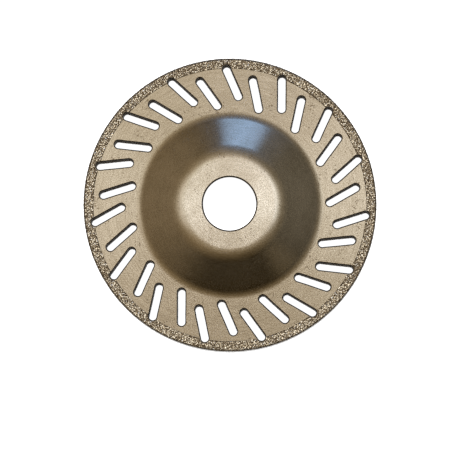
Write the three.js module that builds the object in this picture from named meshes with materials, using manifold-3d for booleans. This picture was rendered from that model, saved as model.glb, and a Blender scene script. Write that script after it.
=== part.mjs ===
// Angle grinder carving disc: a pressed and slotted steel blank with a raised hub, whose rim is
// plated with diamond grit on the upper face, the outer edge and the lower face.
// Millimetres, +Z up. The origin is on the disc's axis, level with the lowest face of the rim, and
// the hub rises towards +Z. The disc is one rigid piece: nothing on it moves.

import * as THREE from 'three';
import { mergeVertices } from 'three/addons/utils/BufferGeometryUtils.js';
import Module from 'manifold-3d';

// ---- Driving dimensions ------------------------------------------------------------------------

const STEEL_DIAMETER = 124; // the bare blank: 125 mm with the coat
const BORE_DIAMETER = 22.23; // the standard arbor of a 125 mm grinder
const BORE_CHAMFER = 0.6; // on both edges of the bore
const SHEET = 2; // thickness of the steel
const STEEL_EDGE_RADIUS = 0.5; // rounding of the blank's outer edge

const HUB_RISE = 10.2; // from the flange's upper face to the hub's upper face
const HUB_FLAT_RADIUS = 18.5; // where the flat of the hub ends
const HUB_BEND_RADIUS = 12.4; // upper side of the soft bend from the hub to the cone
const CONE_FOOT_RADIUS = 40.2; // where the flat of the flange begins
const FOOT_BEND_RADIUS = 7.3; // upper side of the tighter bend from the cone to the flange

const BAND_INNER_RADIUS = 58; // where the coat of the rim begins, on both faces
const BOND = 0.25; // thickness of the plated bond
const GRIT = 0.25; // how far the exposed grit stands out of the bond
const COAT_TAPER = 0.15; // the inner border of each layer slopes by this much

const SLOTS_PER_ROW = 15;
const SLOT_LENGTH = 15.85; // over the round ends
const SLOT_WIDTH = 3.25;
const SLOT_LEAN_DEG = 24.8; // the outer end leans anticlockwise from the radius, seen from the hub
const OUTER_ROW = { radius: 51.95, firstDeg: 90 }; // to the middle of each slot, the first on +Y
const INNER_ROW = { radius: 48.15, firstDeg: 78 }; // half way between the slots of the outer row

// ---- Facets ------------------------------------------------------------------------------------

const TURN_STEPS = 90; // facets round the axis, six to each pair of slots
const HUB_BEND_STEPS = 4;
const FOOT_BEND_STEPS = 3;
const RIM_STEPS = 2; // per quarter turn of the rim's section
const SLOT_END_STEPS = 4; // ExtrudeGeometry makes twice as many facets round each slot end

// ---- Heights and derived sizes -----------------------------------------------------------------

const COAT = BOND + GRIT;
const FLANGE_BOTTOM = COAT;
const FLANGE_TOP = FLANGE_BOTTOM + SHEET;
const HUB_TOP = FLANGE_TOP + HUB_RISE;
const HUB_BOTTOM = HUB_TOP - SHEET;
const BORE_RADIUS = BORE_DIAMETER / 2;

// Centres of the bends, in the plane of radius (x) and height (y).
const HUB_BEND = new THREE.Vector2(HUB_FLAT_RADIUS, HUB_TOP - HUB_BEND_RADIUS);
const FOOT_BEND = new THREE.Vector2(CONE_FOOT_RADIUS, FLANGE_TOP + FOOT_BEND_RADIUS);
const RIM_CENTRE_RADIUS = STEEL_DIAMETER / 2 - STEEL_EDGE_RADIUS;
const UPPER_RIM = new THREE.Vector2(RIM_CENTRE_RADIUS, FLANGE_TOP - STEEL_EDGE_RADIUS);
const LOWER_RIM = new THREE.Vector2(RIM_CENTRE_RADIUS, FLANGE_BOTTOM + STEEL_EDGE_RADIUS);

// The cone is the common tangent of the two bends, which curve opposite ways.
const CONE_DEG = coneSlope(HUB_BEND, FOOT_BEND, HUB_BEND_RADIUS + FOOT_BEND_RADIUS);

function coneSlope(upper, lower, radiusSum) {
  const run = lower.x - upper.x;
  const drop = upper.y - lower.y;
  const slope = Math.atan2(drop, run) + Math.asin(radiusSum / Math.hypot(run, drop));
  return THREE.MathUtils.radToDeg(slope);
}

// ---- Sections, counter-clockwise in the plane of radius (x) and height (y) ----------------------

function point(radius, height) {
  return new THREE.Vector2(radius, height);
}

function arc(centre, radius, fromDeg, toDeg, steps) {
  return Array.from({ length: steps + 1 }, (_, i) => {
    const angle = THREE.MathUtils.degToRad(fromDeg + ((toDeg - fromDeg) * i) / steps);
    return point(centre.x + radius * Math.cos(angle), centre.y + radius * Math.sin(angle));
  });
}

/** The outside of the rim at a given height over the steel, from the lower face to the upper. */
function rimOutline(offset) {
  const radius = STEEL_EDGE_RADIUS + offset;
  return [
    ...arc(LOWER_RIM, radius, -90, 0, RIM_STEPS),
    ...arc(UPPER_RIM, radius, 0, 90, RIM_STEPS),
  ];
}

function blankSection() {
  const footInner = 270 - CONE_DEG;
  const hubOuter = 90 - CONE_DEG;
  return [
    ...rimOutline(0),
    ...arc(FOOT_BEND, FOOT_BEND_RADIUS, 270, footInner, FOOT_BEND_STEPS),
    ...arc(HUB_BEND, HUB_BEND_RADIUS, hubOuter, 90, HUB_BEND_STEPS),
    point(BORE_RADIUS + BORE_CHAMFER, HUB_TOP),
    point(BORE_RADIUS, HUB_TOP - BORE_CHAMFER),
    point(BORE_RADIUS, HUB_BOTTOM + BORE_CHAMFER),
    point(BORE_RADIUS + BORE_CHAMFER, HUB_BOTTOM),
    ...arc(HUB_BEND, HUB_BEND_RADIUS - SHEET, 90, hubOuter, HUB_BEND_STEPS),
    ...arc(FOOT_BEND, FOOT_BEND_RADIUS + SHEET, footInner, 270, FOOT_BEND_STEPS),
  ];
}

function bondSection() {
  return [
    ...rimOutline(BOND),
    point(BAND_INNER_RADIUS + COAT_TAPER, FLANGE_TOP + BOND),
    point(BAND_INNER_RADIUS, FLANGE_TOP),
    ...rimOutline(0).reverse(),
    point(BAND_INNER_RADIUS, FLANGE_BOTTOM),
    point(BAND_INNER_RADIUS + COAT_TAPER, FLANGE_BOTTOM - BOND),
  ];
}

/** One face of the grit, from half way round the shoulder of the rim to the coat's inner border. */
function upperGritSection() {
  const half = RIM_STEPS / 2;
  const foot = BAND_INNER_RADIUS + COAT_TAPER;
  return [
    ...arc(UPPER_RIM, STEEL_EDGE_RADIUS + COAT, 45, 90, half),
    point(foot + COAT_TAPER, FLANGE_TOP + COAT),
    point(foot, FLANGE_TOP + BOND),
    ...arc(UPPER_RIM, STEEL_EDGE_RADIUS + BOND, 90, 45, half),
  ];
}

/** The upper grit turned over about the middle plane of the sheet. */
function lowerGritSection() {
  const twiceMiddle = FLANGE_TOP + FLANGE_BOTTOM;
  return upperGritSection().map(({ x, y }) => point(x, twiceMiddle - y)).reverse();
}

function edgeGritSection() {
  const half = RIM_STEPS / 2;
  const outer = STEEL_EDGE_RADIUS + COAT;
  const inner = STEEL_EDGE_RADIUS + BOND;
  return [
    ...arc(LOWER_RIM, outer, -45, 0, half),
    ...arc(UPPER_RIM, outer, 0, 45, half),
    ...arc(UPPER_RIM, inner, 45, 0, half),
    ...arc(LOWER_RIM, inner, 0, -45, half),
  ];
}

// ---- Solids ------------------------------------------------------------------------------------

const wasm = await Module();
wasm.setup();

/** Turns a closed section round the Z axis. */
function turned(section) {
  const geometry = new THREE.LatheGeometry([...section, section[0]], TURN_STEPS);
  return geometry.rotateX(Math.PI / 2);
}

function solid(geometry) {
  geometry.deleteAttribute('normal');
  geometry.deleteAttribute('uv');
  const merged = mergeVertices(geometry);
  return new wasm.Manifold(new wasm.Mesh({
    numProp: 3,
    vertProperties: Float32Array.from(merged.attributes.position.array),
    triVerts: Uint32Array.from(merged.index.array),
  }));
}

function geometryOf(manifold) {
  const { vertProperties, triVerts } = manifold.getMesh();
  const geometry = new THREE.BufferGeometry();
  geometry.setAttribute('position', new THREE.BufferAttribute(vertProperties, 3));
  geometry.setIndex(new THREE.BufferAttribute(triVerts, 1));
  geometry.computeVertexNormals();
  return geometry;
}

function slotOutline() {
  const end = (SLOT_LENGTH - SLOT_WIDTH) / 2;
  const shape = new THREE.Shape();
  shape.absarc(end, 0, SLOT_WIDTH / 2, -Math.PI / 2, Math.PI / 2);
  shape.absarc(-end, 0, SLOT_WIDTH / 2, Math.PI / 2, (3 * Math.PI) / 2);
  return shape;
}

/** A bar in the shape of one slot, which runs past both faces of the coated rim. */
function slotCutter(row, index) {
  const margin = 1;
  const depth = FLANGE_TOP + COAT + 2 * margin;
  const angle = THREE.MathUtils.degToRad(row.firstDeg + (index * 360) / SLOTS_PER_ROW);
  const lean = THREE.MathUtils.degToRad(SLOT_LEAN_DEG);
  const geometry = new THREE.ExtrudeGeometry(slotOutline(), {
    depth,
    bevelEnabled: false,
    curveSegments: SLOT_END_STEPS,
  });
  geometry.rotateZ(angle + lean);
  geometry.translate(row.radius * Math.cos(angle), row.radius * Math.sin(angle), -margin);
  return solid(geometry);
}

function rowCutter(row) {
  const bars = Array.from({ length: SLOTS_PER_ROW }, (_, index) => slotCutter(row, index));
  return bars.reduce((joined, bar) => joined.add(bar));
}

const outerSlots = rowCutter(OUTER_ROW);
const innerSlots = rowCutter(INNER_ROW);

// ---- Sub-parts ---------------------------------------------------------------------------------

const plate = new THREE.MeshStandardMaterial({ color: 0xb3a488, roughness: 0.36, metalness: 1 });
const bond = new THREE.MeshStandardMaterial({ color: 0x8d8168, roughness: 0.5, metalness: 1 });
const grit = new THREE.MeshStandardMaterial({ color: 0x9a8c6c, roughness: 0.7, metalness: 0.2 });

function part(name, geometry, material) {
  const mesh = new THREE.Mesh(geometry, material);
  mesh.name = name;
  return mesh;
}

function discBody() {
  const blank = solid(turned(blankSection())).subtract(outerSlots).subtract(innerSlots);
  return part('disc_body', geometryOf(blank), plate);
}

/** A ring of the rim's coat. The outer row of slots bites into its inner border. */
function coatRing(name, section, material) {
  const ring = solid(turned(section)).subtract(outerSlots);
  return part(name, geometryOf(ring), material);
}

function carvingDisc() {
  const disc = new THREE.Group();
  disc.add(
    discBody(),
    coatRing('nickel_bond', bondSection(), bond),
    coatRing('diamond_grit_upper', upperGritSection(), grit),
    coatRing('diamond_grit_edge', edgeGritSection(), grit),
    coatRing('diamond_grit_lower', lowerGritSection(), grit),
  );
  return disc;
}

export default carvingDisc();
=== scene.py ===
"""Looks of the angle grinder carving disc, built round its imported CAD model.

Every shape is worked out in millimetres in the CAD frame: +Z up, the disc's axis through the origin.
Meshes are written in metres. The main sizes come from the boxes of the CAD nodes.
"""

import math

import bmesh
import bpy
import numpy as np
from mathutils import Euler, Matrix, Vector, geometry


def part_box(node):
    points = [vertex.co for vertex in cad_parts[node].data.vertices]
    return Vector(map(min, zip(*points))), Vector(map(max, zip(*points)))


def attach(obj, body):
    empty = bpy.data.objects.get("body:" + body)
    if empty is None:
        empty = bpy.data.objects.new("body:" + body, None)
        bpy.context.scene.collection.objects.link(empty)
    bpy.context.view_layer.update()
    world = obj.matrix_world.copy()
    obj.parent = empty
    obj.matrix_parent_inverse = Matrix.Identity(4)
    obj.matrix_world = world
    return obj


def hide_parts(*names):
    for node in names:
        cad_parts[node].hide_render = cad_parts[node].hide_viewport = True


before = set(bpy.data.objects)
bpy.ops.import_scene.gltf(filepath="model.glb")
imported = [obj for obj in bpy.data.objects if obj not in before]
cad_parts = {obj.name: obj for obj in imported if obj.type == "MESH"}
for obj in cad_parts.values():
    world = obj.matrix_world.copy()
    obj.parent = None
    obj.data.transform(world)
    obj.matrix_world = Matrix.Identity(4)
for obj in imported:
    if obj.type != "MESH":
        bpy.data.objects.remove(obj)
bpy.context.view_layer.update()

MM = 0.001


# ---- Sizes from the frame ----------------------------------------------------------------------

def node_box(node):
    low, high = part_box(node)
    return low / MM, high / MM


body_low, body_high = node_box("disc_body")
STEEL_RADIUS = body_high.y
FLANGE_BOTTOM = body_low.z
HUB_TOP = body_high.z
BOND = node_box("nickel_bond")[1].y - STEEL_RADIUS
COAT = node_box("diamond_grit_edge")[1].y - STEEL_RADIUS
FLANGE_TOP = node_box("diamond_grit_upper")[1].z - COAT
SHEET = FLANGE_TOP - FLANGE_BOTTOM
HUB_BOTTOM = HUB_TOP - SHEET

# ---- Sizes that the boxes do not give, as in the CAD model ---------------------------------------

BORE_RADIUS = 22.23 / 2
STEEL_EDGE_RADIUS = 0.5
HUB_FLAT_RADIUS = 18.5
HUB_BEND_RADIUS = 12.4
CONE_FOOT_RADIUS = 40.2
FOOT_BEND_RADIUS = 7.3
BAND_INNER_RADIUS = 58

SLOTS_PER_ROW = 15
SLOT_LENGTH = 15.85
SLOT_WIDTH = 3.25
SLOT_LEAN = math.radians(24.8)
OUTER_ROW = {"radius": 51.95, "first": math.radians(90)}
INNER_ROW = {"radius": 48.15, "first": math.radians(78)}

RIM_CENTRE_RADIUS = STEEL_RADIUS - STEEL_EDGE_RADIUS
UPPER_RIM = (RIM_CENTRE_RADIUS, FLANGE_TOP - STEEL_EDGE_RADIUS)
LOWER_RIM = (RIM_CENTRE_RADIUS, FLANGE_BOTTOM + STEEL_EDGE_RADIUS)

# ---- Sizes of the looks alone ------------------------------------------------------------------------

BORE_ROUND = 0.75  # the CAD model has a chamfer of 0.6 here

SLOT_ROLL_WIDTH = 0.55  # how far the punched edge of a slot rolls over, across and down
SLOT_ROLL_DEPTH = 0.5
SLOT_WOBBLE = 0.05  # how far a slot's outline strays from its true shape

BORDER_CLEARANCE = 0.02  # how far the coat stays from the rolled edge of a slot
BORDER_WAVE = 0.05  # how far the coat's inner border wavers
LIP_WIDTH = 0.18  # how far the bond takes to rise to its full thickness at its inner border
BOND_STEPS = 12
BOND_TURN_STEPS = 1080
BOND_LUMP = 0.05  # how high the bond's lumps are
BOND_LUMP_SIZE = 0.9  # and how wide

GRIT_ROW_PITCH = 0.46
GRIT_PITCH = 0.50
GRIT_SCATTER = 0.42  # how far a crystal strays from its place, as a share of the pitch
GRIT_SIZES = (0.23, 0.36)  # a crystal's longest reach from its middle
GRIT_MARGIN = 0.2  # how far the crystals' seats keep from the coat's inner border
GRIT_TOP_SCATTER = 0.09  # how far below the coat's full height a crystal's top may lie
GRIT_ROOT = 0.8 * BOND  # how far a crystal may reach into the bond, short of the steel
CRYSTAL_SHAPES = 40

SEED = 11

TURN_STEPS = 360


# ---- A shell gathered from patches -----------------------------------------------------------------

class Shell:
    """A closed surface gathered patch by patch. Patches join where their border points coincide."""

    def __init__(self):
        self.points, self.normals, self.cuts, self.faces = [], [], [], []
        self.count = 0

    def add(self, points, normals, faces, cuts=0.0):
        """cuts says for each point how far it lies down a cut edge, from 0 to 1."""
        self.points.append(np.asarray(points, float).reshape(-1, 3))
        self.normals.append(np.asarray(normals, float).reshape(-1, 3))
        self.faces.extend([tuple(i + self.count for i in face) for face in faces])
        count = len(self.points[-1])
        self.cuts.append(np.broadcast_to(np.asarray(cuts, float).reshape(-1), count))
        self.count += count

    def add_grid(self, points, normals, cuts=None):
        """points is rows x columns x 3. The columns go round and close on themselves."""
        rows, columns = points.shape[:2]
        row_cuts = np.zeros(rows) if cuts is None else np.asarray(cuts, float)
        self.add(points, normals, ring_faces(rows, columns), np.repeat(row_cuts, columns))

    def mesh(self, name):
        points = np.concatenate(self.points)
        normals = np.concatenate(self.normals)
        keys = np.round(points / 1e-4).astype(np.int64)
        _, first, joined = np.unique(keys, axis=0, return_index=True, return_inverse=True)
        joined = joined.reshape(-1)
        points, normals, cuts = points[first], normals[first], np.concatenate(self.cuts)[first]
        faces = []
        for face in self.faces:
            corners = tuple(dict.fromkeys(int(joined[i]) for i in face))
            if len(corners) > 2:
                faces.append(facing(corners, points, normals))
        mesh = bpy.data.meshes.new(name)
        mesh.from_pydata((points * MM).tolist(), [], faces)
        mesh.attributes.new("cut", "FLOAT", "POINT").data.foreach_set("value", cuts)
        mesh.polygons.foreach_set("use_smooth", [True] * len(faces))
        mesh.normals_split_custom_set_from_vertices(normals.tolist())
        mesh.update()
        return mesh


def ring_faces(rows, columns):
    faces = []
    for row in range(rows - 1):
        for column in range(columns):
            after = (column + 1) % columns
            low, high = row * columns, (row + 1) * columns
            faces.append((low + column, low + after, high + after, high + column))
    return faces


def facing(corners, points, normals):
    """The face, turned so that it faces the way its corners' normals do."""
    a, b, c = points[corners[0]], points[corners[1]], points[corners[2]]
    flat = np.cross(b - a, c - a)
    if flat @ sum(normals[i] for i in corners) < 0:
        return corners[::-1]
    return corners


# ---- Sections in the plane of radius and height ----------------------------------------------------

def arc(centre, radius, start, stop, steps, side=1):
    """Stations (r, z, normal r, normal z) along an arc. side is -1 where the surface faces the centre."""
    angles = np.radians(np.linspace(start, stop, steps + 1))
    across, up = np.cos(angles), np.sin(angles)
    return np.stack([centre[0] + radius * across, centre[1] + radius * up, side * across, side * up], 1)


def straight(start, stop, normal, steps):
    """Stations between two points, ends left out."""
    shares = np.linspace(0, 1, steps + 1)[1:-1, None]
    places = np.array(start) * (1 - shares) + np.array(stop) * shares
    return np.hstack([places, np.tile(normal, (len(places), 1))])


def cone_angle():
    run = CONE_FOOT_RADIUS - HUB_FLAT_RADIUS
    radii = HUB_BEND_RADIUS + FOOT_BEND_RADIUS
    drop = HUB_TOP - FLANGE_TOP - radii
    return math.degrees(math.atan2(drop, run) + math.asin(radii / math.hypot(run, drop)))


def dish_section():
    """From the flat of the flange over the cone and hub, through the bore and back underneath."""
    slope = cone_angle()
    foot = (CONE_FOOT_RADIUS, FLANGE_TOP + FOOT_BEND_RADIUS)
    hub = (HUB_FLAT_RADIUS, HUB_TOP - HUB_BEND_RADIUS)
    edge = BORE_RADIUS + BORE_ROUND
    up = np.array((math.sin(math.radians(slope)), math.cos(math.radians(slope))))
    top = [
        arc(foot, FOOT_BEND_RADIUS, 270, 270 - slope, 10, -1),
        arc(hub, HUB_BEND_RADIUS, 90 - slope, 90, 18),
    ]
    under = [
        arc(hub, HUB_BEND_RADIUS - SHEET, 90, 90 - slope, 14, -1),
        arc(foot, FOOT_BEND_RADIUS + SHEET, 270 - slope, 270, 10),
    ]
    return np.vstack([
        top[0],
        straight(top[0][-1][:2], top[1][0][:2], up, 12),
        top[1],
        straight((HUB_FLAT_RADIUS, HUB_TOP), (edge, HUB_TOP), (0, 1), 5),
        arc((edge, HUB_TOP - BORE_ROUND), BORE_ROUND, 90, 180, 6),
        arc((edge, HUB_BOTTOM + BORE_ROUND), BORE_ROUND, 180, 270, 6),
        straight((edge, HUB_BOTTOM), (HUB_FLAT_RADIUS, HUB_BOTTOM), (0, -1), 5),
        under[0],
        straight(under[0][-1][:2], under[1][0][:2], -up, 12),
        under[1],
    ])


def rim_section():
    return np.vstack([
        arc(LOWER_RIM, STEEL_EDGE_RADIUS, -90, 0, 4),
        arc(UPPER_RIM, STEEL_EDGE_RADIUS, 0, 90, 4),
    ])


def turned(section):
    """Points and normals of a section turned round the axis, one row per station."""
    angles = np.arange(TURN_STEPS) * 2 * math.pi / TURN_STEPS
    across = np.stack([np.cos(angles), np.sin(angles)], 1)
    r, z, normal_r, normal_z = (section[:, k, None] for k in range(4))
    flat = np.ones(TURN_STEPS)
    points = np.stack([r * across[:, 0], r * across[:, 1], z * flat], 2)
    normals = np.stack([normal_r * across[:, 0], normal_r * across[:, 1], normal_z * flat], 2)
    return points, normals


# ---- Slots -----------------------------------------------------------------------------------------

class Slot:
    """One slot: its middle, the way it runs outwards, and its slightly untrue outline."""

    END_STEPS = 22
    SIDE_STEPS = 26

    def __init__(self, row, index, rng):
        angle = row["first"] + index * 2 * math.pi / SLOTS_PER_ROW
        self.middle = row["radius"] * np.array([math.cos(angle), math.sin(angle)])
        self.along = np.array([math.cos(angle + SLOT_LEAN), math.sin(angle + SLOT_LEAN)])
        self.across = np.array([-self.along[1], self.along[0]])
        self.reach = (SLOT_LENGTH - SLOT_WIDTH) / 2
        self.waves = [(k, rng.uniform(0, 2 * math.pi), rng.uniform(0.3, 1) / k) for k in range(2, 8)]

    def outline(self):
        """Points of the slot's wall and the directions that lead from the slot into the metal."""
        ends = np.linspace(-math.pi / 2, math.pi / 2, self.END_STEPS + 1)
        sides = np.linspace(1, -1, self.SIDE_STEPS + 1)[1:-1]
        turns = np.concatenate([ends, np.full(len(sides), math.pi / 2),
                                ends + math.pi, np.full(len(sides), -math.pi / 2)])
        shifts = np.concatenate([np.full(len(ends), 1.0), sides, np.full(len(ends), -1.0), -sides])
        out = np.outer(np.cos(turns), self.along) + np.outer(np.sin(turns), self.across)
        trips = np.linspace(0, 2 * math.pi, len(turns), endpoint=False)
        stray = sum(size * np.sin(k * trips + phase) for k, phase, size in self.waves)
        half = SLOT_WIDTH / 2 + SLOT_WOBBLE * stray
        wall = self.middle + np.outer(shifts * self.reach, self.along) + out * half[:, None]
        return wall, out

    def gap(self, points):
        """How far each point lies outside the slot's true outline. Negative inside."""
        offset = points - self.middle
        run = np.clip(offset @ self.along, -self.reach, self.reach)
        nearest = run[..., None] * self.along
        return np.linalg.norm(offset - nearest, axis=-1) - SLOT_WIDTH / 2


def slot_rims(shell, slot):
    """The rolled edges and the wall of one slot. Returns the loop where they meet the flange's flat."""
    wall, out = slot.outline()
    levels = []
    angles = np.radians(np.linspace(0, 90, 7))
    for angle in angles:
        levels.append((1 - math.sin(angle), FLANGE_TOP - SLOT_ROLL_DEPTH * (1 - math.cos(angle)),
                       math.sin(angle), math.cos(angle)))
    low = FLANGE_BOTTOM + SLOT_ROLL_DEPTH
    high = FLANGE_TOP - SLOT_ROLL_DEPTH
    levels += [(0, height, 1, 0) for height in np.linspace(high, low, 4)[1:-1]]
    for angle in angles[::-1]:
        levels.append((1 - math.sin(angle), FLANGE_BOTTOM + SLOT_ROLL_DEPTH * (1 - math.cos(angle)),
                       math.sin(angle), -math.cos(angle)))
    points, normals = [], []
    for share, height, inward, upward in levels:
        flat = wall + out * share * SLOT_ROLL_WIDTH
        points.append(np.column_stack([flat, np.full(len(flat), height)]))
        normals.append(np.column_stack([-out * inward, np.full(len(flat), upward)]))
    shell.add_grid(np.array(points), np.array(normals), [1 - share for share, *_ in levels])
    return points[0][:, :2]


# ---- The flat of the flange --------------------------------------------------------------------------

def circle(radius):
    angles = np.arange(TURN_STEPS) * 2 * math.pi / TURN_STEPS
    return radius * np.stack([np.cos(angles), np.sin(angles)], 1)


def flange_plan(loops, slots, rng):
    """Triangles of the flat ring between the first two loops, with the other loops left out as holes."""
    margin = 0.5  # more than a slot's outline strays
    points = list(np.concatenate(loops))
    edges, start = [], 0
    for loop in loops:
        count = len(loop)
        edges += [(start + i, start + (i + 1) % count) for i in range(count)]
        start += count
    points += list(scattered(slots, rng))
    coords = [Vector(p) for p in points]
    made, _, faces, *_ = geometry.delaunay_2d_cdt(coords, edges, [], 0, 1e-6)
    made = np.array([tuple(p) for p in made])
    middles = made[np.array(faces)].mean(1)
    radii = np.linalg.norm(middles, axis=1)
    solid = (radii > CONE_FOOT_RADIUS * math.cos(math.pi / TURN_STEPS)) & (radii < RIM_CENTRE_RADIUS)
    for slot, loop in zip(slots, loops[2:]):
        near = slot.gap(middles) < SLOT_ROLL_WIDTH + margin
        solid[near] &= ~inside(middles[near], loop)
    return made, [face for face, kept in zip(faces, solid) if kept]


def inside(points, loop):
    """Which points lie inside a closed loop, by counting crossings."""
    after = np.roll(loop, -1, axis=0)
    x, y = points[:, :1], points[:, 1:]
    crosses = (loop[:, 1] > y) != (after[:, 1] > y)
    rise = np.where(after[:, 1] == loop[:, 1], 1, after[:, 1] - loop[:, 1])
    meets = loop[:, 0] + (y - loop[:, 1]) / rise * (after[:, 0] - loop[:, 0])
    return (crosses & (x < meets)).sum(1) % 2 == 1


def scattered(slots, rng):
    """Loosely spaced points on the flat of the flange, clear of the slots and of both borders."""
    pitch, margin, scatter = 1.6, 0.9, 0.3
    rings = np.arange(CONE_FOOT_RADIUS + margin, RIM_CENTRE_RADIUS - margin, pitch)
    found = []
    for radius in rings:
        count = int(2 * math.pi * radius / pitch)
        steps = np.arange(count) + rng.uniform(-scatter, scatter, count)
        angles = steps * 2 * math.pi / count
        found.append(radius * np.stack([np.cos(angles), np.sin(angles)], 1))
    points = np.concatenate(found)
    for slot in slots:
        points = points[slot.gap(points) > SLOT_ROLL_WIDTH + margin / 2]
    return points


def body_mesh(slots, rng):
    shell = Shell()
    dish = dish_section()
    bore_depth = (BORE_RADIUS + BORE_ROUND - dish[:, 0]) / BORE_ROUND
    shell.add_grid(*turned(dish), np.clip(bore_depth, 0, 1))
    shell.add_grid(*turned(rim_section()))
    loops = [circle(CONE_FOOT_RADIUS), circle(RIM_CENTRE_RADIUS)]
    loops += [slot_rims(shell, slot) for slot in slots]
    plan, faces = flange_plan(loops, slots, rng)
    for height, upward in ((FLANGE_TOP, 1), (FLANGE_BOTTOM, -1)):
        points = np.column_stack([plan, np.full(len(plan), height)])
        shell.add(points, np.tile((0, 0, upward), (len(plan), 1)), faces)
    return shell.mesh("pressed_disc")


# ---- The coat of the rim -----------------------------------------------------------------------------

def coat_border(angles, slots):
    """Radius of the coat's inner border by angle, with a bite where each outer slot reaches it."""
    bite = SLOT_ROLL_WIDTH + BORDER_CLEARANCE
    inwards, outwards, step = 0.4, 2.4, 0.02  # where a bite is looked for
    wave = sum(np.sin(k * angles + k * k) for k in (23, 41, 67, 101, 163)) / 5
    border = BAND_INNER_RADIUS + BORDER_WAVE * wave
    radii = np.arange(BAND_INNER_RADIUS - inwards, BAND_INNER_RADIUS + outwards, step)
    r, a = np.meshgrid(radii, angles)
    points = np.stack([r * np.cos(a), r * np.sin(a)], 2)
    for slot in slots:
        taken = slot.gap(points) < bite
        border = np.maximum(border, np.where(taken, r, 0).max(1))
    return border


def lumps(points, rng, size, count=48):
    """A smooth pseudo-random field of about +-1 with features of the given size, in millimetres."""
    waves = rng.normal(size=(count, 3))
    waves /= np.linalg.norm(waves, axis=1, keepdims=True)
    waves *= (2 * math.pi / size) * rng.uniform(0.6, 1.5, (count, 1))
    phases = rng.uniform(0, 2 * math.pi, count)
    return np.sin(points @ waves.T + phases).sum(-1) / math.sqrt(count)


def bond_rows(border):
    """Rows of the bond's surface: radius by angle, height, and how far it may be lumpy, from 0 to 1."""
    lip = [(0, 0, 0), (0.01, 0.45, 0.4), (0.06, 0.8, 0.8), (LIP_WIDTH, 1, 1)]
    lip_end = border + LIP_WIDTH
    run = RIM_CENTRE_RADIUS - lip_end
    shares = np.linspace(0, 1, BOND_STEPS + 1)
    rim = np.vstack([
        arc(UPPER_RIM, STEEL_EDGE_RADIUS + BOND, 90, 0, 6)[1:],
        arc(LOWER_RIM, STEEL_EDGE_RADIUS + BOND, 0, -90, 6),
    ])
    against_steel = [(LOWER_RIM[0], FLANGE_BOTTOM), (STEEL_RADIUS, LOWER_RIM[1]),
                     (STEEL_RADIUS, UPPER_RIM[1]), (UPPER_RIM[0], FLANGE_TOP)]
    rows = [(border + shift, FLANGE_TOP + rise * BOND, rough) for shift, rise, rough in lip]
    rows += [(lip_end + run * share, FLANGE_TOP + BOND, 1) for share in shares[1:]]
    rows += [(np.full(len(border), r), z, 1) for r, z, *_ in rim]
    rows += [(lip_end + run * share, FLANGE_BOTTOM - BOND, 1) for share in shares[-2::-1]]
    rows += [(border + shift, FLANGE_BOTTOM - rise * BOND, rough) for shift, rise, rough in lip[-2::-1]]
    rows += [(np.full(len(border), r), z, 0) for r, z in against_steel]
    return rows


def bond_mesh(slots, rng):
    """The bond: a closed band that lies on the steel's upper face, edge and lower face."""
    angles = bond_angles(slots)
    rows = bond_rows(coat_border(angles, slots))
    points = np.array([
        np.column_stack([r * np.cos(angles), r * np.sin(angles), np.full(len(angles), z)])
        for r, z, _ in rows
    ])
    roughs = np.array([rough for *_, rough in rows])
    heights = roughs[:, None] * BOND_LUMP * lumps(points, rng, BOND_LUMP_SIZE)
    points += coat_outwards(points) * heights[..., None]
    row_count, columns = points.shape[:2]
    last = (row_count - 1) * columns
    faces = ring_faces(row_count, columns)
    faces += [(last + c, last + (c + 1) % columns, (c + 1) % columns, c) for c in range(columns)]
    mesh = bpy.data.meshes.new("plated_bond")
    mesh.from_pydata((points.reshape(-1, 3) * MM).tolist(), [], faces)
    tidy_normals(mesh)
    mesh.polygons.foreach_set("use_smooth", [True] * len(faces))
    return mesh


def bond_angles(slots):
    """Angles round the rim, closer together where a slot's bite turns sharply."""
    close = np.linspace(-0.006, 0.006, 13)
    angles = list(np.arange(0, 2 * math.pi, 2 * math.pi / BOND_TURN_STEPS))
    for slot in slots:
        tip = slot.middle + slot.along * slot.reach
        centre = math.atan2(tip[1], tip[0])
        half = (SLOT_WIDTH / 2 + SLOT_ROLL_WIDTH) / np.linalg.norm(tip)
        if np.linalg.norm(tip) + SLOT_WIDTH / 2 > BAND_INNER_RADIUS:
            for side in (-1, 1):
                angles += list(centre + side * half + close)
    return np.unique(np.round(np.mod(angles, 2 * math.pi), 5))


def coat_outwards(points):
    """Unit directions straight out of the coat's surface."""
    r = np.linalg.norm(points[..., :2], axis=-1)
    z = points[..., 2]
    near_z = np.clip(z, LOWER_RIM[1], UPPER_RIM[1])
    near_r = np.minimum(r, RIM_CENTRE_RADIUS)
    off_r, off_z = r - near_r, z - near_z
    length = np.maximum(np.hypot(off_r, off_z), 1e-9)
    flat = points[..., :2] / r[..., None]
    return np.concatenate([flat * (off_r / length)[..., None], (off_z / length)[..., None]], -1)


def tidy_normals(mesh):
    """Turns all the faces of a closed mesh outwards."""
    bm = bmesh.new()
    bm.from_mesh(mesh)
    bmesh.ops.recalc_face_normals(bm, faces=bm.faces)
    bm.to_mesh(mesh)
    bm.free()


def crystal_shapes(rng, count):
    """Blocky crystals of unit size, as points and triangles.

    Each is the hull of 8 to 11 of a cuboctahedron's 12 corners, stretched and shifted a little.
    """
    shapes = []
    corners = [(x, y, 0) for x in (-1, 1) for y in (-1, 1)]
    corners += [(x, 0, z) for x in (-1, 1) for z in (-1, 1)]
    corners += [(0, y, z) for y in (-1, 1) for z in (-1, 1)]
    for _ in range(count):
        kept = rng.permutation(len(corners))[:rng.integers(8, 12)]
        points = np.array(corners, float)[kept] * rng.uniform(0.78, 1.1, 3)
        points += rng.uniform(-0.16, 0.16, points.shape)
        points /= np.linalg.norm(points, axis=1).max()
        shapes.append(hull(points))
    return shapes


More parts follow.
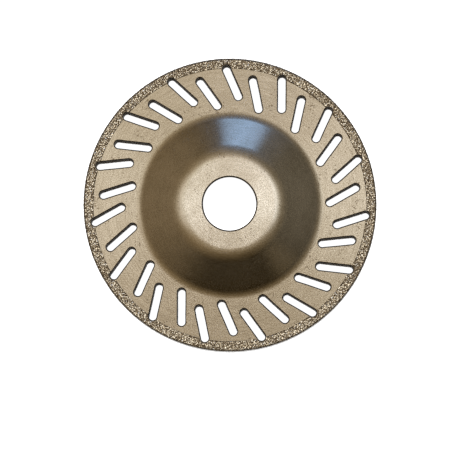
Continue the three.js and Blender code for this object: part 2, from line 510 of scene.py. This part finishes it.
def hull(points):
    bm = bmesh.new()
    for p in points:
        bm.verts.new(p)
    made = bmesh.ops.convex_hull(bm, input=bm.verts)
    spare = [v for v in made["geom_interior"] if isinstance(v, bmesh.types.BMVert)]
    bmesh.ops.delete(bm, geom=spare, context="VERTS")
    bmesh.ops.triangulate(bm, faces=bm.faces)
    bmesh.ops.recalc_face_normals(bm, faces=bm.faces)
    bm.verts.index_update()
    corners = np.array([v.co[:] for v in bm.verts])
    triangles = np.array([[v.index for v in f.verts] for f in bm.faces])
    bm.free()
    return corners, triangles


def coat_path(border):
    """Stations (r, z) on the bond's surface, from the upper border over the rim to the lower border."""
    outer = STEEL_EDGE_RADIUS + BOND
    return np.vstack([
        [(border, FLANGE_TOP + BOND)],
        arc(UPPER_RIM, outer, 90, 0, 12)[:, :2],
        arc(LOWER_RIM, outer, 0, -90, 12)[:, :2],
        [(border, FLANGE_BOTTOM - BOND)],
    ])


def grain_seats(slots, rng, low_angle, high_angle):
    """Where grains sit between two directions of the rim's section, 90 being up and -90 down."""
    path = coat_path(BAND_INNER_RADIUS)
    lengths = np.concatenate([[0], np.cumsum(np.linalg.norm(np.diff(path, axis=0), axis=1))])
    seats = []
    for run in np.arange(GRIT_ROW_PITCH * 0.45, lengths[-1], GRIT_ROW_PITCH):
        radius = np.interp(run, lengths, path[:, 0])
        count = int(2 * math.pi * radius / GRIT_PITCH)
        steps = np.arange(count) + rng.uniform(-GRIT_SCATTER, GRIT_SCATTER, count)
        angles = steps * 2 * math.pi / count
        runs = run + rng.uniform(-GRIT_SCATTER, GRIT_SCATTER, count) * GRIT_ROW_PITCH
        r = np.interp(runs, lengths, path[:, 0])
        z = np.interp(runs, lengths, path[:, 1])
        seats.append(np.column_stack([r * np.cos(angles), r * np.sin(angles), z]))
    seats = np.concatenate(seats)
    out = coat_outwards(seats)
    lift = np.degrees(np.arctan2(out[:, 2], np.linalg.norm(out[:, :2], axis=1)))
    seats = seats[(lift >= low_angle) & (lift < high_angle)]
    angles = np.arctan2(seats[:, 1], seats[:, 0])
    radii = np.linalg.norm(seats[:, :2], axis=1)
    grid = np.linspace(-math.pi, math.pi, 7200)
    border = np.interp(angles, grid, coat_border(grid, slots))
    return seats[radii > border + GRIT_MARGIN]


def grit_mesh(name, slots, rng, low_angle, high_angle):
    """Crystals between two directions of the rim's section, in one mesh."""
    seats = grain_seats(slots, rng, low_angle, high_angle)
    shapes = crystal_shapes(rng, CRYSTAL_SHAPES)
    sizes = rng.uniform(*GRIT_SIZES, len(seats))
    # A turned crystal's top lies about 0.9 of its size above its middle.
    stand = COAT - BOND - 0.9 * sizes - rng.uniform(0, GRIT_TOP_SCATTER, len(seats))
    outs = coat_outwards(seats)
    picks = rng.integers(0, len(shapes), len(seats))
    turns = random_turns(rng, len(seats))
    points, triangles, start = [], [], 0
    for pick, seat, out, lift, size, turn in zip(picks, seats, outs, stand, sizes, turns):
        corners, faces = shapes[pick]
        offsets = (corners @ turn.T) * size + out * lift
        sunk = np.maximum(-GRIT_ROOT - offsets @ out, 0)
        points.append(seat + offsets + sunk[:, None] * out)
        triangles.append(faces + start)
        start += len(corners)
    mesh = bpy.data.meshes.new(name)
    mesh.from_pydata((np.concatenate(points) * MM).tolist(), [], np.concatenate(triangles).tolist())
    mesh.update()
    return mesh


def random_turns(rng, count):
    """Random rotation matrices, from random unit quaternions."""
    quaternions = rng.normal(size=(count, 4))
    w, x, y, z = (quaternions / np.linalg.norm(quaternions, axis=1, keepdims=True)).T
    return np.stack([
        np.stack([1 - 2 * (y * y + z * z), 2 * (x * y - z * w), 2 * (x * z + y * w)], 1),
        np.stack([2 * (x * y + z * w), 1 - 2 * (x * x + z * z), 2 * (y * z - x * w)], 1),
        np.stack([2 * (x * z - y * w), 2 * (y * z + x * w), 1 - 2 * (x * x + y * y)], 1),
    ], 1)


# ---- Material tools ----------------------------------------------------------------------------------

class Nodes:
    """Short names for building a material's or a world's node tree."""

    def __init__(self, tree):
        self.tree = tree
        tree.nodes.clear()

    def new(self, kind, inputs=None, **settings):
        node = self.tree.nodes.new(kind)
        for name, value in settings.items():
            setattr(node, name, value)
        for name, value in (inputs or {}).items():
            self.feed(node.inputs[name], value)
        return node

    def feed(self, socket, value):
        if isinstance(value, bpy.types.NodeSocket):
            self.tree.links.new(value, socket)
        else:
            socket.default_value = value

    def math(self, operation, a, b):
        node = self.new("ShaderNodeMath", operation=operation)
        self.feed(node.inputs[0], a)
        self.feed(node.inputs[1], b)
        return node.outputs[0]

    def vector(self, operation, a, b=(0, 0, 0)):
        node = self.new("ShaderNodeVectorMath", operation=operation)
        self.feed(node.inputs[0], a)
        self.feed(node.inputs[1], b)
        return node.outputs["Value" if operation in ("DOT_PRODUCT", "LENGTH") else "Vector"]

    def smooth(self, value, low, high, out_low=0.0, out_high=1.0):
        node = self.new("ShaderNodeMapRange", {
            "Value": value, "From Min": low, "From Max": high, "To Min": out_low, "To Max": out_high,
        }, interpolation_type="SMOOTHSTEP")
        return node.outputs["Result"]

    def noise(self, vector, scale, detail=2.0, roughness=0.5):
        node = self.new("ShaderNodeTexNoise", {
            "Vector": vector, "Scale": scale, "Detail": detail, "Roughness": roughness,
        })
        return node.outputs["Fac"]

    def mix(self, factor, a, b):
        node = self.new("ShaderNodeMix", data_type="RGBA")
        self.feed(node.inputs["Factor"], factor)
        self.feed(node.inputs["A"], a)
        self.feed(node.inputs["B"], b)
        return node.outputs["Result"]

    def bump(self, height, distance):
        return self.new("ShaderNodeBump", {"Height": height, "Distance": distance}).outputs["Normal"]


def material(name):
    made = bpy.data.materials.new(name)
    made.use_nodes = True
    nodes = Nodes(made.node_tree)
    shader = nodes.new("ShaderNodeBsdfPrincipled")
    output = nodes.new("ShaderNodeOutputMaterial")
    nodes.feed(output.inputs["Surface"], shader.outputs["BSDF"])
    return made, nodes, shader


def place(nodes):
    """The point on the object in millimetres."""
    source = nodes.new("ShaderNodeTexCoord")
    return nodes.vector("MULTIPLY", source.outputs["Object"], (1 / MM,) * 3)


def axis_distance(nodes, where):
    """How far a point lies from the disc's axis."""
    return nodes.vector("LENGTH", nodes.vector("MULTIPLY", where, (1, 1, 0)))


def brushed_rings(nodes, where, radius):
    """Fine rings left by brushing: a noise that varies fast with radius and slowly with angle."""
    split = nodes.new("ShaderNodeSeparateXYZ", {"Vector": where}).outputs
    angle = nodes.math("ARCTAN2", split["Y"], split["X"])
    wander = nodes.math("MULTIPLY", nodes.noise(where, 0.12), 0.15)
    across = nodes.math("MULTIPLY", nodes.math("ADD", radius, wander), 1.8)
    along = nodes.math("MULTIPLY", angle, 5.0)
    ring_place = nodes.new("ShaderNodeCombineXYZ", {"X": across, "Y": along}).outputs[0]
    return nodes.noise(ring_place, 1.0, detail=4.0, roughness=0.7)


def stained_pits(nodes, where):
    """Specks of bare or stained metal, which come in patches: 1 in a speck and 0 beside it."""
    patches = nodes.noise(where, 0.16, detail=1.0)
    threshold = nodes.smooth(patches, 0.48, 0.70, out_low=0.77, out_high=0.62)
    specks = nodes.math("SUBTRACT", nodes.noise(where, 1.4, detail=1.0, roughness=0.4), threshold)
    return nodes.smooth(specks, 0.0, 0.05)


def steel_colour(nodes, where, hub, flange, rings, dapple, pits):
    """Pale hub and flange, a darker and browner cone as painted shade, stained pits, and cut edges
    darkened with painted shade.
    """
    tone = nodes.math("ADD", nodes.math("MULTIPLY", dapple, 0.65), nodes.math("MULTIPLY", rings, 0.35))
    share = nodes.smooth(tone, 0.38, 0.62)
    # painted shade: the cone is coloured darker and browner than the flange to stand in for how dark it
    # looks under the light
    shaded_cone_tone = nodes.mix(share, (0.27, 0.225, 0.15, 1), (0.38, 0.325, 0.23, 1))
    hub_tone = nodes.mix(share, (0.6, 0.555, 0.47, 1), (0.89, 0.84, 0.73, 1))
    flange_tone = nodes.mix(share, (0.41, 0.355, 0.265, 1), (0.72, 0.65, 0.52, 1))
    colour = nodes.mix(hub, shaded_cone_tone, hub_tone)
    colour = nodes.mix(flange, colour, flange_tone)
    cloud = nodes.smooth(nodes.noise(where, 0.11, detail=3.0, roughness=0.55), 0.35, 0.65, out_high=0.3)
    colour = nodes.mix(cloud, colour, (0.45, 0.385, 0.28, 1))
    colour = nodes.mix(nodes.math("MULTIPLY", pits, 0.65), colour, (0.20, 0.145, 0.085, 1))
    # painted shade: the slots' rolled edges and walls and the bore's rounded edge are darkened for their
    # shadow and dark reflections
    depth = nodes.new("ShaderNodeAttribute", attribute_name="cut").outputs["Fac"]
    return nodes.mix(nodes.smooth(depth, 0.02, 0.3), colour, (0.035, 0.025, 0.015, 1))


def steel_roughness(nodes, hub, flange, dapple):
    """About 0.23 on the cone, a little more on the flange and less on the hub, varied by the dapple."""
    rough = nodes.math("SUBTRACT", nodes.math("MULTIPLY", flange, 0.02), nodes.math("MULTIPLY", hub, 0.04))
    rough = nodes.math("ADD", rough, 0.23)
    return nodes.math("ADD", rough, nodes.math("MULTIPLY", nodes.math("SUBTRACT", dapple, 0.5), 0.12))


def steel_relief(nodes, where, hub, flange, rings, dapple, pits):
    """Rings, dapple and grain, faint on the cone, with the pits sunk into them."""
    grain = nodes.noise(where, 4.0)
    height = nodes.math("ADD", nodes.math("MULTIPLY", rings, 0.3), nodes.math("MULTIPLY", dapple, 0.9))
    height = nodes.math("ADD", height, nodes.math("MULTIPLY", grain, 0.25))
    strength = nodes.math("ADD", nodes.math("MULTIPLY", nodes.math("ADD", hub, flange), 0.85), 0.15)
    height = nodes.math("SUBTRACT", nodes.math("MULTIPLY", height, strength), pits)
    return nodes.bump(height, 0.028 * MM)


def plated_steel():
    """Warm satin nickel over pressed steel: a brushed, dappled flange and hub, and a smoother cone."""
    made, nodes, shader = material("plated_steel")
    where = place(nodes)
    radius = axis_distance(nodes, where)
    # Where the hub and the flange lie, each from 0 to 1. The cone is what is left.
    hub = nodes.smooth(radius, HUB_FLAT_RADIUS + 4, HUB_FLAT_RADIUS - 1)
    flange = nodes.smooth(radius, CONE_FOOT_RADIUS - 2.5, CONE_FOOT_RADIUS + 0.5)
    rings = brushed_rings(nodes, where, radius)
    dapple = nodes.noise(where, 2.0, detail=3.0, roughness=0.62)
    pits = stained_pits(nodes, where)
    tangent = nodes.new("ShaderNodeTangent", direction_type="RADIAL", axis="Z").outputs[0]
    nodes.feed(shader.inputs["Base Color"], steel_colour(nodes, where, hub, flange, rings, dapple, pits))
    nodes.feed(shader.inputs["Roughness"], steel_roughness(nodes, hub, flange, dapple))
    nodes.feed(shader.inputs["Normal"], steel_relief(nodes, where, hub, flange, rings, dapple, pits))
    nodes.feed(shader.inputs["Tangent"], tangent)
    shader.inputs["Metallic"].default_value = 1.0
    shader.inputs["Anisotropic"].default_value = 0.85
    shader.inputs["Anisotropic Rotation"].default_value = 0.25
    return made


def plated_bond():
    """Nickel between the crystals, dull with dirt in places."""
    made, nodes, shader = material("plated_bond")
    where = place(nodes)
    dirt = nodes.noise(where, 1.8, detail=4.0, roughness=0.6)
    colour = nodes.mix(nodes.smooth(dirt, 0.35, 0.65), (0.07, 0.05, 0.035, 1), (0.26, 0.21, 0.14, 1))
    nodes.feed(shader.inputs["Base Color"], colour)
    nodes.feed(shader.inputs["Roughness"], nodes.smooth(dirt, 0.3, 0.7, out_low=0.62, out_high=0.4))
    nodes.feed(shader.inputs["Normal"], nodes.bump(nodes.noise(where, 4.0, detail=3.0), 0.05 * MM))
    shader.inputs["Metallic"].default_value = 1.0
    return made


def crystal_tint(nodes):
    """A colour for each crystal, from smoky brown to straw."""
    chance = nodes.new("ShaderNodeNewGeometry").outputs["Random Per Island"]
    ramp = nodes.new("ShaderNodeValToRGB", {"Fac": chance})
    stops = [(0.0, (0.07, 0.05, 0.03)), (0.35, (0.26, 0.20, 0.13)), (0.5, (0.60, 0.51, 0.37)),
             (0.8, (0.90, 0.81, 0.63)), (1.0, (1.0, 0.93, 0.77))]
    elements = ramp.color_ramp.elements
    for index, (position, colour) in enumerate(stops):
        stop = elements[index] if index < 2 else elements.new(position)
        stop.position = position
        stop.color = (*colour, 1)
    return ramp.outputs["Color"]


def diamond_grit():
    """Crystals filmed here and there with plating, with painted shade where the rim turns down."""
    made, nodes, shader = material("diamond_grit")
    tint = crystal_tint(nodes)
    where = place(nodes)
    film = nodes.noise(where, 3.0, detail=3.0, roughness=0.6)
    filmed = nodes.smooth(film, 0.4, 0.7, out_high=0.4)
    radius = axis_distance(nodes, where)
    darkest = 0.88
    # painted shade: the crystals darken at the rim's outermost edge for the shadow and dark reflection
    # there, and the metallic follows it
    rim_painted_shade = nodes.smooth(radius, STEEL_RADIUS - 0.7, STEEL_RADIUS, out_high=darkest)
    metallic = nodes.smooth(rim_painted_shade, 0.0, darkest, out_low=0.75, out_high=1.0)
    colour = nodes.mix(filmed, tint, (0.30, 0.24, 0.16, 1))
    colour = nodes.mix(rim_painted_shade, colour, (0.03, 0.022, 0.014, 1))
    nodes.feed(shader.inputs["Base Color"], colour)
    nodes.feed(shader.inputs["Roughness"], nodes.smooth(film, 0.3, 0.7, out_low=0.15, out_high=0.4))
    nodes.feed(shader.inputs["Normal"], nodes.bump(nodes.noise(where, 9.0), 0.01 * MM))
    nodes.feed(shader.inputs["Metallic"], metallic)
    return made


# ---- Pieces ------------------------------------------------------------------------------------------

def add_piece(mesh, finish, slot_name, *nodes):
    piece = bpy.data.objects.new(mesh.name, mesh)
    bpy.context.scene.collection.objects.link(piece)
    mesh.materials.append(finish)
    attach(piece, "root")
    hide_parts(*nodes)


def make_disc():
    rng = np.random.default_rng(SEED)
    outer = [Slot(OUTER_ROW, index, rng) for index in range(SLOTS_PER_ROW)]
    inner = [Slot(INNER_ROW, index, rng) for index in range(SLOTS_PER_ROW)]
    add_piece(body_mesh(outer + inner, rng), plated_steel(), "plated_steel", "disc_body")
    add_piece(bond_mesh(outer, rng), plated_bond(), "nickel_bond", "nickel_bond")
    grit = diamond_grit()
    bands = (("upper", 45, 91), ("edge", -45, 45), ("lower", -91, -45))  # 90 is straight up
    for where, low_angle, high_angle in bands:
        mesh = grit_mesh(f"grit_{where}", outer, rng, low_angle, high_angle)
        add_piece(mesh, grit, "diamond_grit", f"diamond_grit_{where}")


# ---- Studio ------------------------------------------------------------------------------------------

def direction(clockwise, elevation):
    """A unit vector by the angle clockwise from +Y, seen from above, and the angle over the horizon."""
    turn, lift = math.radians(clockwise), math.radians(elevation)
    return (math.sin(turn) * math.cos(lift), math.cos(turn) * math.cos(lift), math.sin(lift))


def studio_light(nodes):
    """The light from every direction: lamps, window and walls, added to a dim room."""
    ray = nodes.new("ShaderNodeTexCoord").outputs["Generated"]
    lift = nodes.new("ShaderNodeSeparateXYZ", {"Vector": ray}).outputs["Z"]
    parts = []

    def light(share, colour):
        node = nodes.new("ShaderNodeVectorMath", operation="SCALE")
        node.inputs[0].default_value = colour
        nodes.feed(node.inputs["Scale"], share)
        parts.append(node.outputs["Vector"])

    def lobe(clockwise, elevation, radius, colour, full=0.0):
        """A patch of light round one direction: whole up to full degrees and gone beyond radius."""
        facing_it = nodes.vector("DOT_PRODUCT", ray, direction(clockwise, elevation))
        none, whole = math.cos(math.radians(radius)), math.cos(math.radians(full))
        light(nodes.smooth(facing_it, none, whole), colour)

    light(nodes.smooth(lift, 0.06, 0.03), (0.5, 0.5, 0.5))  # pale at the horizon and below
    lobe(0, 90, 55, (0.26, 0.2, 0.12))  # warm pale ceiling
    lobe(20, 80, 15, (0.75, 0.75, 0.8))  # panel in the ceiling overhead
    lobe(75, 75, 12, (1.2, 1.3, 1.45))  # its neighbour to the right
    lobe(275, 65, 16, (0.9, 0.95, 1.05))  # lamp at the left
    lobe(310, 78, 12, (0.35, 0.4, 0.4))  # a third, weaker panel
    lobe(340, 60, 25, (0.15, 0.15, 0.15))  # weaker lamp behind
    lobe(8, 7, 20, (1.0, 1.8, 3.8), 14)  # blue window low behind
    lobe(10, 30, 35, (0.15, 0.2, 0.35))  # its glow on the wall
    lobe(280, 30, 75, (0.35, 0.28, 0.2))  # warm wall at the left
    lobe(75, 35, 60, (0.2, 0.2, 0.2))  # grey wall at the right
    lobe(135, 5, 15, (0.7, 0.6, 0.45))  # low lamp beyond the right corner

    total = (0.045, 0.032, 0.014)  # the dim room itself
    for part in parts:
        total = nodes.vector("ADD", part, total)
    return total


def make_world():
    """The disc is lit by the studio, and the camera sees a plain pale backdrop instead."""
    world = bpy.data.worlds.new("studio")
    world.use_nodes = True
    bpy.context.scene.world = world
    nodes = Nodes(world.node_tree)
    seen = nodes.new("ShaderNodeLightPath").outputs["Is Camera Ray"]
    shown = nodes.mix(seen, studio_light(nodes), (0.93, 0.93, 0.92, 1))
    background = nodes.new("ShaderNodeBackground", {"Color": shown, "Strength": 1.0})
    output = nodes.new("ShaderNodeOutputWorld")
    nodes.feed(output.inputs["Surface"], background.outputs[0])


def make_floor():
    """A matt floor that the sun makes pale. It also glows under the hub and just round the rim."""
    mesh = bpy.data.meshes.new("floor")
    half = 4.0
    corners = [(-half, -half, 0), (half, -half, 0), (half, half, 0), (-half, half, 0)]
    mesh.from_pydata(corners, [], [(0, 1, 2, 3)])
    floor = bpy.data.objects.new("floor", mesh)
    bpy.context.scene.collection.objects.link(floor)
    made, nodes, shader = material("floor")
    radius = axis_distance(nodes, place(nodes))
    open_middle = nodes.smooth(radius, HUB_FLAT_RADIUS + 8, HUB_FLAT_RADIUS + 2)
    beside = nodes.smooth(radius, STEEL_RADIUS - 0.5, STEEL_RADIUS + 1)
    beside = nodes.math("MULTIPLY", beside, nodes.smooth(radius, STEEL_RADIUS + 14, STEEL_RADIUS + 4))
    glow = nodes.math("ADD", open_middle, nodes.math("MULTIPLY", beside, 0.75))
    shader.inputs["Base Color"].default_value = (0.2, 0.2, 0.2, 1)
    shader.inputs["Roughness"].default_value = 0.9
    shader.inputs["Specular IOR Level"].default_value = 0.0
    shader.inputs["Emission Color"].default_value = (1, 1, 1, 1)
    nodes.feed(shader.inputs["Emission Strength"], glow)
    mesh.materials.append(made)


def make_sun():
    """Lights the floor round the disc's shadow and the matt part of the grit. No metal mirrors it."""
    sun = bpy.data.lights.new("floor_sun", "SUN")
    sun.energy = 17.0
    sun.angle = math.radians(7)
    holder = bpy.data.objects.new("floor_sun", sun)
    bpy.context.scene.collection.objects.link(holder)
    holder.rotation_euler = Vector(direction(350, 71)).to_track_quat("Z", "Y").to_euler()
    holder.visible_glossy = False


def make_camera():
    """Nearly straight above, a little towards -Y and +X, turned so that the first slot sits as it lay."""
    distance = 0.70  # from the aim, in metres
    tilt, side, roll = math.radians(2.0), math.radians(0.6), math.radians(1.2)
    seen_width = 191.06 * MM  # what the picture's width covers at the aim
    aim = Vector((0, 0, HUB_TOP / 4 * MM))
    back = Vector((math.sin(side), -math.sin(tilt), math.cos(tilt)))
    back.rotate(Euler((0, 0, roll)))
    up = Vector((0, 1, 0))
    up.rotate(Euler((0, 0, roll)))
    right = up.cross(back).normalized()
    up = back.cross(right).normalized()
    lens = bpy.data.cameras.new("camera")
    camera = bpy.data.objects.new("camera", lens)
    bpy.context.scene.collection.objects.link(camera)
    turn = Matrix((right, up, back.normalized())).transposed()
    camera.matrix_world = Matrix.Translation(aim + back.normalized() * distance) @ turn.to_4x4()
    lens.sensor_width = 36
    lens.lens = lens.sensor_width * distance / seen_width
    lens.shift_x = -0.0107
    lens.shift_y = -0.0456
    lens.clip_start = 0.05
    lens.clip_end = 20
    bpy.context.scene.camera = camera


make_camera()
make_disc()
make_floor()
make_world()
make_sun()
bpy.context.scene.view_settings.view_transform = "Standard"
